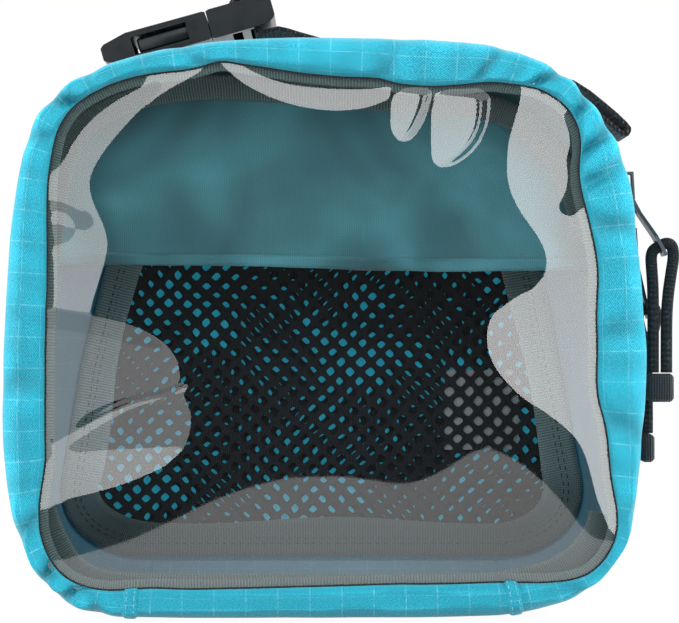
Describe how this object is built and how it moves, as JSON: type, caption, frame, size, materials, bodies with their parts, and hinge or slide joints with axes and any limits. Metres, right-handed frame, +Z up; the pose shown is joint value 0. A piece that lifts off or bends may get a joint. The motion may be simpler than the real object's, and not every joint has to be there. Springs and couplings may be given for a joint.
{
  "type": "packing cube",
  "caption": "Soft zipped packing cube with a clear front window, mesh-lined interior, hanging inner flap, buckled top strap and cord zip pulls.",
  "frame": {"origin": "on the underside of the bottom panel, midway between the bottom seams and half way from the front to the back", "axes": "+X to the right seen from the window side, +Y from the window to the back panel, +Z up"},
  "size_m": [0.214, 0.09, 0.1984],
  "materials": {
    "ripstop_fabric": "turquoise coated ripstop nylon with a pale grid",
    "window_film": "clear flexible film, glossy and slightly wavy",
    "grosgrain_tape": "dark grey-green ribbed grosgrain",
    "mesh_fabric": "black knitted mesh with round holes",
    "flap_fabric": "greyish teal plain weave",
    "zip_tape": "dark blue woven zip tape",
    "zip_coil": "dark blue nylon coil",
    "slider_metal": "dark painted metal, satin",
    "pull_cord": "black braided cord",
    "cord_end": "black moulded end",
    "buckle_plastic": "black moulded acetal, satin gloss",
    "webbing": "black ribbed webbing with fine speckle",
    "label": "plain grey woven label"
  },
  "bodies": {
    "base": {"side_gusset": "ripstop_fabric", "hinge_panel": "ripstop_fabric", "base_zip_tape": "zip_tape", "base_zip_coil": "zip_coil", "back_panel": "ripstop_fabric", "back_mesh": "mesh_fabric", "pocket_mesh": "mesh_fabric", "back_binding": "grosgrain_tape", "blank_label": "label", "flap_header": "flap_fabric", "top_tape": "grosgrain_tape", "strap_left": "webbing", "strap_right": "webbing", "buckle_female": "buckle_plastic", "webbing_tab": "webbing"},
    "lid": {"front_border": "ripstop_fabric", "border_bottom": "ripstop_fabric", "window_panel": "window_film", "window_binding": "grosgrain_tape", "lid_zip_tape": "zip_tape", "lid_zip_coil": "zip_coil"},
    "flap": {"retention_flap": "flap_fabric", "flap_hem": "flap_fabric"},
    "slider_upper": {"slider_upper": "slider_metal"},
    "pull_upper": {"puller_upper": "slider_metal", "pull_cord_upper": "pull_cord", "cord_end_upper": "cord_end"},
    "slider_lower": {"slider_lower": "slider_metal"},
    "pull_lower": {"puller_lower": "slider_metal", "pull_cord_lower": "pull_cord", "cord_end_lower": "cord_end"},
    "buckle_male": {"buckle_male": "buckle_plastic", "strap_keeper": "webbing"},
    "prong_near": {"buckle_prong_near": "buckle_plastic"},
    "prong_far": {"buckle_prong_far": "buckle_plastic"}
  },
  "joints": [
    {"name": "lid_hinge", "type": "hinge", "parent": "base", "child": "lid", "pos_m": [0, -0.045, 0], "axis": [1, 0, 0], "range_deg": [0, 90]},
    {"name": "flap_swing", "type": "hinge", "parent": "base", "child": "flap", "pos_m": [0, -0.0106, 0.1597], "axis": [1, 0, 0], "range_deg": [-25, 12]},
    {"name": "slider_upper_turn", "type": "hinge", "parent": "base", "child": "slider_upper", "pos_m": [0.05503, -0.018, 0.13478], "axis": [0, -1, 0], "range_deg": [0, 70]},
    {"name": "pull_upper_swing", "type": "hinge", "parent": "slider_upper", "child": "pull_upper", "pos_m": [0.09744, -0.018, 0.13338], "axis": [0, -1, 0], "range_deg": [0, 150]},
    {"name": "slider_lower_slide", "type": "slide", "parent": "base", "child": "slider_lower", "axis": [0.0592, 0, -0.9982], "range_m": [0, 0.044]},
    {"name": "pull_lower_swing", "type": "hinge", "parent": "slider_lower", "child": "pull_lower", "pos_m": [0.09851, -0.018, 0.11538], "axis": [0, -1, 0], "range_deg": [0, 70]},
    {"name": "buckle_pull", "type": "slide", "parent": "base", "child": "buckle_male", "axis": [0.9622, 0, 0.2723], "range_m": [0, 0.028], "deforming": ["strap_right"]},
    {"name": "prong_near_press", "type": "hinge", "parent": "buckle_male", "child": "prong_near", "pos_m": [-0.03704, -0.0096, 0.18787], "axis": [0.2723, 0, -0.9622], "range_deg": [0, 7], "stiffness_Nm_per_rad": 0.002, "springref_deg": -2.86},
    {"name": "prong_far_press", "type": "hinge", "parent": "buckle_male", "child": "prong_far", "pos_m": [-0.03704, 0.0096, 0.18787], "axis": [-0.2723, 0, 0.9622], "range_deg": [0, 7], "stiffness_Nm_per_rad": 0.002, "springref_deg": -2.86}
  ],
  "couplings": [
    {"joint": "prong_far_press", "follows": "prong_near_press", "ratio": 1}
  ]
}
